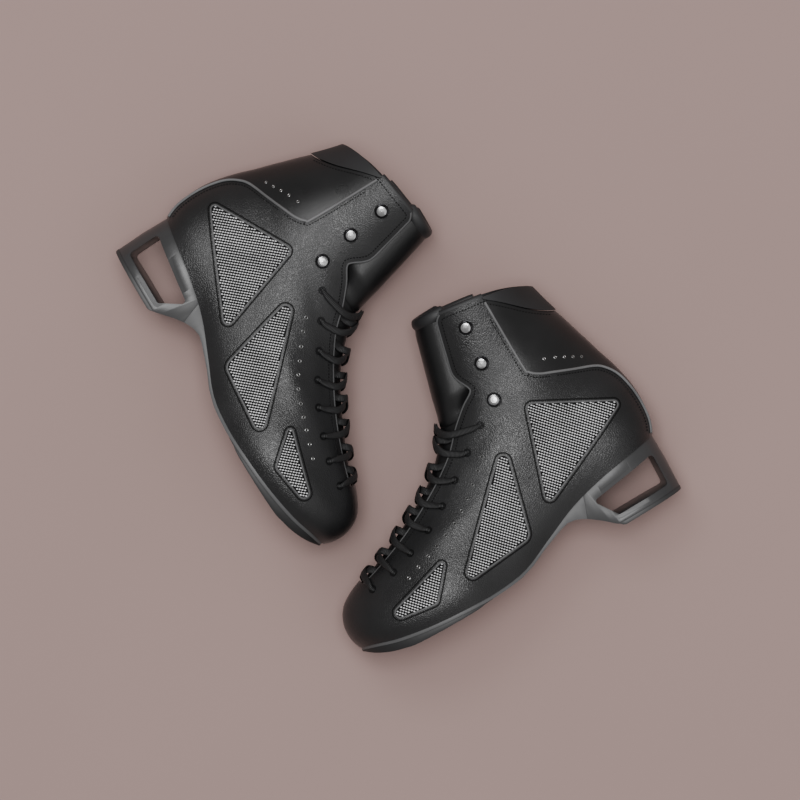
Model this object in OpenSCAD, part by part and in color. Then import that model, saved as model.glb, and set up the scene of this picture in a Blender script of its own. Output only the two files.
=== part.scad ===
// A pair of figure skating boots without blades, lying on their inner sides.
// Each boot is drawn upright in its own frame: X from heel to toe, Y outwards, Z up,
// with zero on the ground under the back of the heel. place() lays it on the floor.

/* [Placement] */
// Turn of the left boot on the floor, in degrees
left_turn = 211; // [180:0.1:240]
// Turn of the right boot on the floor, in degrees
right_turn = -59.3; // [-90:0.1:-30]
// Heel of the left boot, across the floor
left_x = 215.7; // [200:0.1:300]
// Heel of the left boot, up the floor
left_y = -68.4; // [-150:0.1:0]
// Heel of the right boot, across the floor
right_x = -215.6; // [-300:0.1:-200]
// Heel of the right boot, up the floor
right_y = 112.5; // [0:0.1:150]
// Height of each boot's middle plane over the floor, at its heel
rest_height = 31.94; // [30:0.01:80]
// Roll of each boot about its length as it lies, in degrees
roll = -2.79; // [-8:0.01:8]
// Tilt of each boot's toe as it lies, in degrees
pitch = -3.08; // [-8:0.01:8]

/* [Upper] */
// Thickness of the leather
leather_t = 2; // [1.5:0.1:2]
// Thickness of the stiffeners between leather and lining
stiffener_t = 1.3; // [0.8:0.1:1.4]
// Thickness of the lining
lining_t = 1.4; // [1:0.1:2]
// Thickness of the tongue
tongue_t = 4; // [2:0.5:5]
// Half of the loose tongue's width at the collar
tongue_half = 25; // [20:0.5:26]
// Radius of the piping along the collar seam
piping_r = 0.9; // [0.6:0.1:1.2]

/* [Lacing] */
// Radius of an eyelet's flange
eyelet_r = 3.2; // [2.8:0.1:4]
// Radius of a lacing stud's head
stud_r = 5.6; // [4.8:0.1:6]
// Width of the flat lace
lace_w = 5.5; // [4:0.5:6]
// Thickness of the flat lace
lace_t = 1.2; // [0.8:0.1:1.4]

/* [Sole] */
// How far the sole stands proud of the upper
welt = 1; // [0.5:0.1:2]
// Thickness of the midsole's edge
band_t = 2.6; // [2:0.1:3]
// Thickness of the heel lift
lift_t = 3; // [2:0.5:4]
// Half width of the heel at the ground
heel_half = 33; // [28:1:34]
// Thickness of the insole board
board_t = 2; // [1.5:0.5:3]
// Thickness of the footbed
footbed_t = 3.5; // [2:0.5:5]

/* [Hidden] */
$fn = 32;
GAP = 0.15;
SEAM_GAP = 0.4;
FILL_T = 1.3;
EYELET_HOLE = 2;
PIECES = [
  "upper_leather", "collar_panel", "collar_piping", "heel_mesh", "arch_mesh", "toe_mesh",
  "lining", "toe_puff", "heel_counter", "lower_tongue", "upper_tongue", "tongue_roll",
  "soft_cuff", "eyelets", "lacing_studs", "stud_rivets", "lace",
  "footbed", "insole_board", "shank", "bottom_filler", "heel_screws",
  "midsole", "outsole", "heel_block", "heel_lift"
];
SIDES = ["left", "right"];

// Girth levels from the feather edge to above the collar. Each has its back point and
// front point (x, z, x, z), the dip of the arch, the bluntness of its ends, and the half
// width at eight even places from back to front.
LEVELS = [
  [-3, 47, 273.5, 22, 25.7, 8,       35, 35, 31, 31, 38, 44.5, 43, 37],
  [-8, 61, 276, 31, 24, 8,         36, 37, 35, 36, 41.5, 47.5, 45, 38],
  [-9.5, 76, 275, 43, 20, 7,       36, 37.5, 37, 38.5, 42.5, 46, 42.5, 36],
  [-9, 88, 268.5, 54.5, 14, 6,       35.5, 37.5, 38, 39, 41, 40.5, 35, 31],
  [-7, 99, 256, 62.5, 9, 5,        35, 37.5, 38.5, 39.5, 40, 36.5, 30, 29],
  [-4.5, 109, 236, 70, 5, 4,       34, 37, 39, 39.5, 37.5, 32.5, 26.5, 25],
  [-2, 117, 212, 80, 3, 3.5,       33.5, 37, 39.5, 39.5, 36.5, 31, 25, 25],
  [0.5, 125, 188, 91.5, 1.5, 3,    32.5, 37, 40, 40, 37, 31.5, 26, 25.5],
  [3, 134, 165, 105, 0.5, 2.8,     32, 36.5, 40, 40.5, 37.5, 33, 28.5, 27],
  [6, 144, 145, 123.5, 0, 2.5,       32, 36, 39.5, 40.5, 38.5, 36, 32, 29.5],
  [9.5, 156, 131.5, 143, 0, 2.3,     32.5, 36, 38.5, 39.5, 38.5, 36.5, 33, 30],
  [14, 170, 127.5, 164, 0, 2.2,    33.5, 36.5, 38.5, 39.5, 39, 37.5, 34.5, 30.5],
  [18, 185, 121.5, 188, 0, 2.2,      35, 38, 40, 41, 40.5, 39, 36, 31.5],
  [21, 199, 117, 207, 0, 2.2,      36.5, 39.5, 41.5, 42.5, 42, 40.5, 37.5, 32.5],
  [23, 211, 114, 222, 0, 2.2,      37.5, 40.5, 42.5, 43.5, 43, 41.5, 38.5, 33.5]
];
TOP_LEVEL = len(LEVELS) - 1;
// Share of the arch's dip at even places from back to front
ARCH = [0, 0.03, 0.1, 0.28, 0.62, 0.95, 0.96, 0.81, 0.62, 0.35, 0];
// The ball of the foot lies outwards of the heel's middle, and the toe turns in from there
BALL_OUT = 4;
TOE_IN = 6;
// Every wall of the upper shares these steps of level and angle, so that layers stay parallel
LEVEL_STEP = 0.8;
ANGLE_STEP = 10;

// --- outlines seen from the side, as (x, z) ---
COLLAR_SEAM = [[59, 204], [59, 145.5], [57.5, 138.5], [51, 133], [40, 128], [25, 121.5],
               [10, 115], [3, 109], [-2.5, 100], [-5.5, 88], [-6.5, 75], [-5.5, 62],
               [-3, 53], [1, 46]];
CUFF_SEAM = [[59, 203], [50, 195.5], [42, 188], [33, 179.5], [24, 172.5], [14, 166.5],
             [-5, 160]];
TOP_LINE = [[-5, 180], [13, 185.5], [18, 190.5], [26, 195.5], [40, 201], [58, 205],
            [75, 207.5], [93, 210]];
FACING = [[93, 210], [97, 206.5], [99, 200], [104, 180], [107, 167], [106, 160], [102, 151],
          [103, 147], [112, 141], [121, 133.5], [128, 127], [140, 114.5], [155, 103.5],
          [170, 94.5], [185, 86.5], [200, 79.5], [215, 73.5], [230, 68.2], [246, 63.5]];
THROAT_END = 247;
HEEL_WINDOW = [[13, 83, 3], [69, 113, 4], [91, 49.5, 4]];
ARCH_WINDOW = [[108.5, 90, 4.5], [126, 36, 7], [172, 30.5, 4.5]];
TOE_WINDOW = [[189.5, 47, 2], [234.5, 32, 4], [209, 28.5, 4]];

// Parting line between the heel block and the midsole, downwards
PARTING = [[71.5, 28], [75.5, 18.7]];
// Underside of the heel's front, upwards, and of the arch, forwards
HEEL_FRONT = [[56.5, 3], [59, 5], [65, 10.5], [70, 14.6]];
ARCH_BOTTOM = [[79, 20.6], [83.5, 22.6], [90, 23.6], [97, 21.8], [115, 15.4], [129, 9.4], [138, 7]];
TREAD = [[176, 4.4], [188, 3.6], [232, 4.6], [245, 6.6], [256, 9.5], [265, 13.5], [272, 18]];
HEEL_HOLLOW = [[10, 32], [61, 25.7], [51, 11], [10, 12]];

// --- places of the fasteners, seen from the side or from above ---
STUDS = [[80.5, 192], [84, 162.5], [90, 133.5]];
EYELETS = [[109, 122], [128, 109], [147, 96], [165.5, 84], [184, 74], [204.5, 66],
           [223, 60], [243, 57]];
// Where the lace from each of those eyelets crosses the ridge of the instep, along x
CROSSINGS = [135.5, 138, 151, 168, 182, 199, 222, 238];
SCREWS = [[12, 0], [34, 10], [34, -10], [56, 0]];

// --- arithmetic ---
function cubic(a, b, c, d, f) =
  0.5 * (2 * b + (c - a) * f + (2 * a - 5 * b + 4 * c - d) * f * f
         + (3 * b - a - 3 * c + d) * f * f * f);
function along(table, u) =
  let (n = len(table), i = min(max(floor(u), 0), n - 2))
  cubic(table[max(i - 1, 0)], table[i], table[i + 1], table[min(i + 2, n - 1)], u - i);
function unit(v) = v / norm(v);
function smooth(t) = let (s = min(max(t, 0), 1)) s * s * (3 - 2 * s);
function reversed(list) = [for (i = [len(list) - 1:-1:0]) list[i]];
// The multiples of a step between two ends, with both ends
function steps(from, to, step) =
  concat([from], [for (i = [floor(from / step + 0.01) + 1:ceil(to / step - 0.01) - 1]) i * step],
         [to]);

// A point of the boot's outer surface: u is the girth level, a the angle round it,
// with 0 at the heel, 90 on the outer side and 180 at the front.
function skin(u, a) =
  let (row = along(LEVELS, u), c = (1 - cos(a)) / 2,
       width = along([for (i = [6:13]) row[i]], c * 7),
       half = width * sqrt(max(0, 1 - pow(abs(cos(a)), row[5]))) * sign(sin(a)),
       x = row[0] + (row[2] - row[0]) * c,
       z = row[1] + (row[3] - row[1]) * c - row[4] * along(ARCH, c * 10))
  [x, half + BALL_OUT * smooth((x - 130) / 55) - TOE_IN * smooth((x - 185) / 90), z];
function normal(u, a) =
  let (e = 0.05, s = 0.5,
       du = skin(min(u + e, TOP_LEVEL), a) - skin(max(u - e, 0), a),
       da = skin(u, a + s) - skin(u, a - s))
  unit(cross(du, da));
// The same surface moved inwards by a depth
function layer(u, a, depth) = skin(u, a) - depth * normal(u, a);

// The level and angle of the surface point that the side view shows at (x, z)
function on_side(x, z, u = 7, a = 90, n = 14) =
  n == 0 ? [u, a] :
  let (p = skin(u, a), pu = (skin(u + 0.02, a) - p) / 0.02, pa = (skin(u, a + 0.2) - p) / 0.2,
       det = pu.x * pa.z - pa.x * pu.z, ex = x - p.x, ez = z - p.z,
       du = (ex * pa.z - pa.x * ez) / det, da = (pu.x * ez - ex * pu.z) / det)
  on_side(x, z, min(max(u + min(max(du, -1.5), 1.5), 0), TOP_LEVEL - 0.1),
          min(max(a + min(max(da, -25), 25), 4), 176), n - 1);

// --- building blocks ---
// Joins equal rings of points into one closed skin
module loft(rings) {
  n = len(rings);
  m = len(rings[0]);
  walls = [for (i = [0:n - 2]) for (j = [0:m - 1]) let (k = (j + 1) % m) each [
    [i * m + j, i * m + k, (i + 1) * m + k],
    [i * m + j, (i + 1) * m + k, (i + 1) * m + j]]];
  ends = [[for (j = [m - 1:-1:0]) j], [for (j = [0:m - 1]) (n - 1) * m + j]];
  polyhedron([for (r = rings) each r], concat(walls, ends), convexity = 8);
}
// A wall of the boot between two depths, over levels u0 to u1 and angles a0 to a1.
// The outer and inner depths are functions of level and angle.
module wall(outer, inner, u0, u1, a0 = 0, a1 = 360, level_step = LEVEL_STEP) {
  closed = a1 - a0 >= 360;
  levels = steps(u0, u1, level_step);
  angles = steps(a0, a1, ANGLE_STEP);
  n = len(levels);
  m = closed ? len(angles) - 1 : len(angles);
  cells = closed ? m : m - 1;
  outside = [for (u = levels) for (j = [0:m - 1]) layer(u, angles[j], outer(u, angles[j]))];
  inside = [for (u = levels) for (j = [0:m - 1]) layer(u, angles[j], inner(u, angles[j]))];
  function at(s, i, j) = (s * n + i) * m + j % m;
  faces = [for (i = [0:n - 2]) for (j = [0:cells - 1]) each [
    [at(0, i, j), at(0, i, j + 1), at(0, i + 1, j + 1)],
    [at(0, i, j), at(0, i + 1, j + 1), at(0, i + 1, j)],
    [at(1, i, j), at(1, i + 1, j + 1), at(1, i, j + 1)],
    [at(1, i, j), at(1, i + 1, j), at(1, i + 1, j + 1)]]];
  rims = [for (j = [0:cells - 1]) each [
    [at(0, 0, j), at(1, 0, j + 1), at(0, 0, j + 1)],
    [at(0, 0, j), at(1, 0, j), at(1, 0, j + 1)],
    [at(0, n - 1, j), at(0, n - 1, j + 1), at(1, n - 1, j + 1)],
    [at(0, n - 1, j), at(1, n - 1, j + 1), at(1, n - 1, j)]]];
  ends = closed ? [] : [for (i = [0:n - 2]) each [
    [at(0, i, 0), at(0, i + 1, 0), at(1, i + 1, 0)],
    [at(0, i, 0), at(1, i + 1, 0), at(1, i, 0)],
    [at(0, i, m - 1), at(1, i, m - 1), at(1, i + 1, m - 1)],
    [at(0, i, m - 1), at(1, i + 1, m - 1), at(0, i + 1, m - 1)]]];
  polyhedron(concat(outside, inside), concat(faces, rims, ends), convexity = 8);
}
// A wall between two even depths
module even_wall(outer, inner, u0, u1, a0 = 0, a1 = 360, level_step = LEVEL_STEP) {
  wall(function(u, a) outer, function(u, a) inner, u0, u1, a0, a1, level_step);
}
// A side outline carried across the boot
module across(points) {
  rotate([90, 0, 0]) linear_extrude(200, center = true) polygon(points);
}
// A side outline whose corners are circles (x, z, radius), grown by g
module rounded(corners, g = 0) {
  rotate([90, 0, 0]) linear_extrude(200, center = true)
    hull() for (c = corners) translate([c.x, c.y]) circle(c.z + g, $fn = 16);
}
// A cut wall as one closed surface
module whole() { resize([0, 0, 0]) children(); }
// Children with their own Z along the outward normal at the side place (x, z)
module seat(place, side = 1, depth = 0) {
  ua = on_side(place.x, place.y);
  n = normal(ua.x, side * ua.y);
  translate(layer(ua.x, side * ua.y, depth)) rotate([0, acos(n.z), atan2(n.y, n.x)]) children();
}

// --- regions of the upper, seen from the side ---
module throat(g = 0) {
  across(concat([for (p = FACING) p - [g, 0.6 * g]],
                [[THROAT_END + g, 63.5 - 0.6 * g], [THROAT_END + g, 240], [93 - g, 240]]));
}
module above_top() {
  across(concat(TOP_LINE, [[93, 260], [-60, 260], [-60, 180]]));
}
module behind_collar_seam() {
  across(concat(COLLAR_SEAM, [[1, 20], [-60, 20], [-60, 230], [58, 230]]));
}
module above_cuff_seam(g = 0) {
  across(concat([for (p = CUFF_SEAM) p + [-g, g]], [[-60, 160 + g], [-60, 240], [58 - g, 240]]));
}

// --- the upper ---
STIFFENER_IN = leather_t + GAP;
LINING_OUT = STIFFENER_IN + stiffener_t + GAP;
LINING_IN = LINING_OUT + lining_t;
TONGUE_OUT = LINING_IN + 0.6;
// The lining stops short of the throat by this much, where the lace runs inside
LINING_BACK = 18;

module upper_leather() {
  color([0.13, 0.13, 0.14]) whole() difference() {
    even_wall(0, leather_t, 0, TOP_LEVEL);
    throat();
    above_top();
    behind_collar_seam();
    rounded(HEEL_WINDOW);
    rounded(ARCH_WINDOW);
    rounded(TOE_WINDOW);
    for (e = EYELETS) for (s = [-1, 1])
      seat(e, s) cylinder(h = 8, r = EYELET_HOLE, center = true, $fn = 6);
  }
}
module collar_panel() {
  color([0.1, 0.1, 0.11]) whole() difference() {
    intersection() {
      even_wall(0, leather_t, 0, TOP_LEVEL, -90, 90);
      translate([-0.6, 0, 0.4]) behind_collar_seam();
    }
    above_top();
    above_cuff_seam();
  }
}
module soft_cuff() {
  color([0.16, 0.16, 0.17]) whole() difference() {
    intersection() {
      even_wall(0.5, LINING_IN, 9.8, TOP_LEVEL, -90, 90);
      above_cuff_seam(0.5);
    }
    above_top();
  }
}
// One round bead along the collar seam on each side of the boot
module collar_piping() {
  line = [for (i = [0.2:0.6:12.5]) along(COLLAR_SEAM, i)];
  color([0.4, 0.4, 0.41]) for (s = [-1, 1]) {
    places = [for (p = line) on_side(p.x, p.y, p.y > 120 ? 9 : 4, p.y > 120 ? 80 : 30)];
    centres = [for (q = places) layer(q.x, s * q.y, -piping_r - 0.2)];
    normals = [for (q = places) normal(q.x, s * q.y)];
    loft(ribbon(centres, normals, [for (q = places) piping_r * [1, 1]], 6));
  }
}
module mesh_insert(corners, u0, u1, a0, a1) {
  color([0.6, 0.6, 0.6]) for (s = [-1, 1]) whole() intersection() {
    even_wall(0.5, leather_t - 0.6, u0, u1, s > 0 ? a0 : -a1, s > 0 ? a1 : -a0,
              2 * LEVEL_STEP);
    rounded(corners, -GAP);
  }
}
module heel_mesh() { mesh_insert(HEEL_WINDOW, 0, 8, 30, 90); }
module arch_mesh() { mesh_insert(ARCH_WINDOW, 0, 5.6, 70, 120); }
module toe_mesh() { mesh_insert(TOE_WINDOW, 0, 3.2, 110, 140); }

module lining() {
  color([0.2, 0.2, 0.21]) whole() difference() {
    even_wall(LINING_OUT, LINING_IN, LEVEL_STEP, TOP_LEVEL, level_step = 2 * LEVEL_STEP);
    throat(LINING_BACK);
    translate([0, 0, -1]) above_top();
    above_cuff_seam(-0.6);
  }
}
module toe_puff() {
  color([0.75, 0.7, 0.6])
    even_wall(STIFFENER_IN, STIFFENER_IN + stiffener_t, LEVEL_STEP, 4 * LEVEL_STEP, 140, 220);
}
module heel_counter() {
  color([0.75, 0.7, 0.6]) whole() intersection() {
    even_wall(STIFFENER_IN, STIFFENER_IN + stiffener_t, LEVEL_STEP, 7 * LEVEL_STEP, -50, 50);
    across([[-30, 30], [60, 30], [60, 62], [20, 104], [-30, 104]]);
  }
}

// --- the tongue ---
// Half the angle of the throat at a level
function throat_angle(u) = lookup(u, [[4.4, 13], [5.2, 27], [7.7, 33], [9, 37], [10, 46]]);
// Depth of the lower tongue's ridge, between the facings
TONGUE_RIDGE = 2.2;
// The lower tongue lies under the facings and fills up the throat between them
function tongue_depth(u, a) =
  let (fill = (1 - smooth(abs(a - 180) / throat_angle(u))) * smooth((u - 4.3) / 0.5))
  TONGUE_OUT - (TONGUE_OUT - TONGUE_RIDGE) * fill;
TONGUE_SPLIT = 141;
// The loose tongue starts clear of the highest pass of the lace
TONGUE_FOOT = 148;
module lower_tongue() {
  color([0.12, 0.12, 0.13]) whole() intersection() {
    wall(function(u, a) tongue_depth(u, a), function(u, a) tongue_depth(u, a) + tongue_t,
         4 * LEVEL_STEP, 13 * LEVEL_STEP, 130, 230);
    across([[80, TONGUE_SPLIT - 8], [115, TONGUE_SPLIT - 0.7], [170, TONGUE_SPLIT - 0.7],
            [240.5, 100], [240.5, 40], [230, 40]]);
  }
}
// The loose part is a channel with straight sides, so that it can swing out of the throat
function tongue_front(z) = lookup(z, [[136, 134], [144, 131.5], [156, 128.5], [168, 125],
                                      [180, 121.5], [192, 118], [204, 114.5], [211, 111.5],
                                      [216, 108]]);
function tongue_back(z) = lookup(z, [[141, 118], [150, 100], [165, 95], [225, 88]]);
function tongue_width(z) = lookup(z, [[141, 19], [152, tongue_half - 1], [165, tongue_half]]);
function channel_edge(z, inset) =
  let (w = tongue_width(z) - inset, front = tongue_front(z) - inset, bend = 19 - inset,
       back = min(tongue_back(z), front - bend - 1))
  concat([[back, -w, z]], [for (t = [-90:22.5:90]) [front - bend * (1 - cos(t)), w * sin(t), z]],
         [[back, w, z]]);
module channel(z0, z1, outer, inner, n) {
  loft([for (i = [0:n]) let (z = z0 + (z1 - z0) * i / n)
        concat(reversed(channel_edge(z, outer)), channel_edge(z, inner))]);
}
module upper_tongue() {
  color([0.12, 0.12, 0.13]) channel(TONGUE_FOOT, 208, 0, tongue_t, 9);
}
module tongue_roll() {
  color([0.2, 0.2, 0.21]) channel(208.2, 216, -0.5, tongue_t + 1, 3);
}

// --- lacing ---
// Oval rings of n points along a path, flat against the given normals. Where a list of
// wide directions is given, the ovals follow it, even where the path doubles back.
function ribbon(path, normals, halves, n, wide = undef) =
  let (last = len(path) - 1)
  [for (i = [0:last])
    let (dir = unit(path[min(i + 1, last)] - path[max(i - 1, 0)]),
         w = is_undef(wide) ? unit(cross(dir, normals[i]))
                            : unit(wide[i] - (wide[i] * dir) * dir),
         t = cross(w, dir))
    [for (k = [0:n - 1]) let (a = 180 / n + 360 * k / n)
      path[i] + halves[i].x * cos(a) * w + halves[i].y * sin(a) * t]];

// The level of the surface point at angle a whose place along the boot is x
function level_at(x, a, low = 0, high = TOP_LEVEL, n = 18) =
  let (u = (low + high) / 2)
  n == 0 ? u : skin(u, a).x > x ? level_at(x, a, u, high, n - 1) : level_at(x, a, low, u, n - 1);
// The lace's stations on one pass, from an eyelet on one side to the next one up on the
// other. Each is: share of the way, depth, and how much the lace is pinched by an eyelet.
PASS = [[0, 3.6, 1], [0, -1.4, 1], [0.06, -1.7, 0.3], [0.22, -1.5, 0], [0.36, -1.8, 0],
        [0.44, -1.8, 0], [0.5, -1.8, 0], [0.56, -1.2, 0], [0.62, 0.7, 0], [0.68, 3.1, 0],
        [0.85, 3.7, 0]];
PINCHED = [1.3, 0.9];
// One end of the lace crosses this far over the middle height, and the other as far under
LACE_OVER = 0.75;
function eyelet_place(i) = on_side(EYELETS[i].x, EYELETS[i].y);
// Stations of one end of the lace, from the lowest eyelet up, as [level, angle, depth, pinch]
function lace_run(side) =
  let (last = len(EYELETS) - 1)
  [for (i = [last:-1:0])
    let (hand = side * ((last - i) % 2 == 0 ? 1 : -1), next = max(i - 1, 0),
         from = eyelet_place(i), to = eyelet_place(next) + [i == 0 ? 0.5 : 0, 0],
         x0 = EYELETS[i].x, x1 = CROSSINGS[i], x2 = EYELETS[next].x)
    for (p = PASS)
      let (a = from.y + (360 - to.y - from.y) * p[0],
           x = a < 180 ? x0 + (x1 - x0) * (a - from.y) / (180 - from.y)
                       : x1 + (x2 - x1) * (a - 180) / (180 - to.y))
      [p[0] == 0 ? from.x : level_at(x, a), 180 + hand * (a - 180),
       p[1] - side * LACE_OVER * smooth(1 - abs(p[0] - 0.5) / 0.3), p[2]]];
module lace() {
  // Both ends start from a bar under the vamp, between the two lowest eyelets
  bar = [for (a = [195, 180, 165]) [4, a, 3.6, 0]];
  stations = concat(reversed(lace_run(1)), bar, lace_run(-1));
  path = [for (s = stations) layer(s[0], s[1], s[2])];
  normals = [for (s = stations) normal(s[0], s[1])];
  wide = [for (s = stations) unit(skin(s[0] + 0.1, s[1]) - skin(s[0] - 0.1, s[1]))];
  halves = [for (s = stations) [lace_w / 2, lace_t / 2] * (1 - s[3]) + PINCHED * s[3]];
  color([0.07, 0.07, 0.08]) loft(ribbon(path, normals, halves * sqrt(2), 4, wide));
}
module eyelets() {
  color([0.1, 0.1, 0.1]) for (e = EYELETS) for (s = [-1, 1]) seat(e, s, -0.05)
    difference() {
      cylinder(h = 0.4, r = eyelet_r);
      translate([0, 0, -1]) cylinder(h = 3, r = EYELET_HOLE);
    }
}
module lacing_studs() {
  color([0.08, 0.08, 0.08]) for (p = STUDS) for (s = [-1, 1]) seat(p, s, -0.3)
    rotate_extrude($fn = 40)
      polygon([[1.6, 0], [stud_r - 0.4, 0], [stud_r - 0.4, 0.6], [3, 1.2], [3, 2.4],
               [stud_r - 0.6, 2.8], [stud_r, 3.3], [stud_r - 0.2, 3.9], [4.4, 4.4],
               [4.2, 3.9], [1.6, 3.9]]);
}
module stud_rivets() {
  color([0.8, 0.8, 0.8]) for (p = STUDS) for (s = [-1, 1]) seat(p, s, -0.3)
    rotate_extrude($fn = 40)
      polygon([[0, 0.1], [1.55, 0.1], [1.55, 3.95], [3.9, 3.95], [3.7, 4.5], [2.4, 4.9],
               [0, 5]]);
}

// --- inside the sole ---
// Height of the feather edge at x
function feather(x) =
  let (row = LEVELS[0], c = min(max((x - row[0]) / (row[2] - row[0]), 0), 1))
  row[1] + (row[3] - row[1]) * c - row[4] * along(ARCH, c * 10);
function feather_line(x0, x1, dz, n = 30) =
  [for (i = [0:n]) let (x = x0 + (x1 - x0) * i / n) [x, feather(x) + dz]];
// The boot's bottom outline as an upright prism, grown by g
module bottom_outline(g) {
  linear_extrude(200, center = true) polygon(
    [for (j = [0:51]) let (a = j * 360 / 52, p = skin(0, a),
         t = skin(0, a + 1) - skin(0, a - 1), edge = unit([t.x, t.y]))
      [p.x - g * edge.y, p.y + g * edge.x]]);
}
// A sheet that follows the feather edge between two heights over it
module bed(x0, x1, z0, z1) {
  across(concat(feather_line(x0, x1, z0), reversed(feather_line(x0, x1, z1))));
}
BOARD_TOP = FILL_T + board_t;
module shank() {
  color([0.6, 0.6, 0.62]) difference() {
    intersection() {
      bed(45, 148, 0, FILL_T - 0.1);
      translate([0, -9, -50]) cube([300, 18, 200]);
    }
    for (s = SCREWS) translate([s.x, s.y, 0]) cylinder(h = 60, r = 4.1);
  }
}
module bottom_filler() {
  color([0.6, 0.45, 0.3]) intersection() {
    bed(150, 262, 0, FILL_T - 0.1);
    bottom_outline(-7);
  }
}
module insole_board() {
  color([0.7, 0.6, 0.45]) difference() {
    intersection() {
      bed(2, 269, FILL_T, BOARD_TOP);
      bottom_outline(-5.6);
    }
    for (s = SCREWS) translate([s.x, s.y, 20]) cylinder(h = 60, r = 4.1);
  }
}
module footbed() {
  color([0.25, 0.25, 0.27]) intersection() {
    bed(4, 267, BOARD_TOP + 0.3, BOARD_TOP + 0.3 + footbed_t);
    bottom_outline(-6.4);
  }
}
// Screws that hold the heel, with flat heads let into the insole board
module heel_screws() {
  color([0.7, 0.7, 0.7]) for (s = SCREWS) translate([s.x, s.y, feather(s.x)]) {
    translate([0, 0, FILL_T]) cylinder(h = 1.3, r = 3.8);
    translate([0, 0, -7]) cylinder(h = 8.4, r = 1.95);
  }
}

// --- the sole ---
module midsole() {
  color([0.36, 0.36, 0.37]) intersection() {
    across(concat(feather_line(69, 277, -SEAM_GAP), reversed(feather_line(146, 277, -band_t)),
                  reversed(ARCH_BOTTOM), reversed(PARTING)));
    bottom_outline(welt);
  }
}
module outsole() {
  color([0.17, 0.17, 0.18]) intersection() {
    across(concat(reversed(feather_line(169, 277, -band_t - 0.1)), TREAD));
    bottom_outline(welt - 0.3);
  }
}
// The heel's front view, narrower towards the ground
module heel_taper(g = 0) {
  rotate([90, 0, 90]) linear_extrude(300, center = true)
    polygon([[-heel_half - g, -1], [heel_half + g, -1], [heel_half + 3 + g, 60],
             [-heel_half - 3 - g, 60]]);
}
module heel_block() {
  color([0.3, 0.3, 0.31]) difference() {
    intersection() {
      across(concat(feather_line(-5, 69 - GAP, -SEAM_GAP), [for (p = PARTING) p - [GAP, 0]],
                    reversed(HEEL_FRONT), [[0.3, lift_t + 0.1], [-1, 20], [-5, 46]]));
      bottom_outline(welt);
      heel_taper();
    }
    across(HEEL_HOLLOW);
    for (s = SCREWS) translate([s.x, s.y, feather(s.x) - 8]) cylinder(h = 30, r = 2);
  }
}
module heel_lift() {
  color([0.12, 0.12, 0.13]) intersection() {
    across([[0, 0.6], [0.6, 0], [53.5, 0], [56, lift_t], [-0.2, lift_t]]);
    bottom_outline(welt);
    heel_taper(0.4);
  }
}

module piece(name) {
  if (name == "upper_leather") upper_leather();
  if (name == "collar_panel") collar_panel();
  if (name == "collar_piping") collar_piping();
  if (name == "heel_mesh") heel_mesh();
  if (name == "arch_mesh") arch_mesh();
  if (name == "toe_mesh") toe_mesh();
  if (name == "lining") lining();
  if (name == "toe_puff") toe_puff();
  if (name == "heel_counter") heel_counter();
  if (name == "lower_tongue") lower_tongue();
  if (name == "upper_tongue") upper_tongue();
  if (name == "tongue_roll") tongue_roll();
  if (name == "soft_cuff") soft_cuff();
  if (name == "eyelets") eyelets();
  if (name == "lacing_studs") lacing_studs();
  if (name == "stud_rivets") stud_rivets();
  if (name == "lace") lace();
  if (name == "footbed") footbed();
  if (name == "insole_board") insole_board();
  if (name == "shank") shank();
  if (name == "bottom_filler") bottom_filler();
  if (name == "heel_screws") heel_screws();
  if (name == "midsole") midsole();
  if (name == "outsole") outsole();
  if (name == "heel_block") heel_block();
  if (name == "heel_lift") heel_lift();
}
// Lays a boot on its inner side. The right boot is the mirror image of the left.
module place(side) {
  if (side == "left")
    translate([left_x, left_y, rest_height]) rotate([0, 0, left_turn])
      rotate([roll, pitch, 0]) rotate([90, 0, 0]) children();
  else
    translate([right_x, right_y, rest_height]) rotate([0, 0, right_turn])
      rotate([-roll, pitch, 0]) rotate([-90, 0, 0]) mirror([0, 1, 0]) children();
}
for (side = SIDES) for (name = PIECES)
  place(side) piece(name);
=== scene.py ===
import math
import bpy
import numpy as np
from mathutils import Matrix


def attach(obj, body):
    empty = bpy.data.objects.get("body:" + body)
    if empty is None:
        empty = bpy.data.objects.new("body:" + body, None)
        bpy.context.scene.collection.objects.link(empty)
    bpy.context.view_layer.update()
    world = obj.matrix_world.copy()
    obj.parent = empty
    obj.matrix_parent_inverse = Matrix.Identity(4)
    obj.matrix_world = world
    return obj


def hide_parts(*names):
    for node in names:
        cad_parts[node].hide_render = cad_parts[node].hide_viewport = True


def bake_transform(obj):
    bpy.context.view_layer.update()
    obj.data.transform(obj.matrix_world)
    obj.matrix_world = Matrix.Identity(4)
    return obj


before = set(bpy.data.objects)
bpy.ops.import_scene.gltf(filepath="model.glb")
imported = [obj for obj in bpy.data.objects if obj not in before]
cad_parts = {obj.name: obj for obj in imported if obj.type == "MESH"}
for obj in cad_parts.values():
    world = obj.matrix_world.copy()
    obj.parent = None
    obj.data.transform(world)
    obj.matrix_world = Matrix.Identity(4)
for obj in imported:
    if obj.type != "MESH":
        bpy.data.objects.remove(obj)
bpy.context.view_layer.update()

SIDES = ("left", "right")

# ---------------------------------------------------------------------------
# The boots' own frame: millimetres, X from heel to toe, Y outwards, Z up.
# These values are the CAD model's, and place() lays a boot where the CAD has it.
# ---------------------------------------------------------------------------
TURN = {"left": 211, "right": -59.3}
HEEL_AT = {"left": (215.7, -68.4), "right": (-215.6, 112.5)}
REST_HEIGHT = 31.94
ROLL = -2.79
PITCH = -3.08
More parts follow.
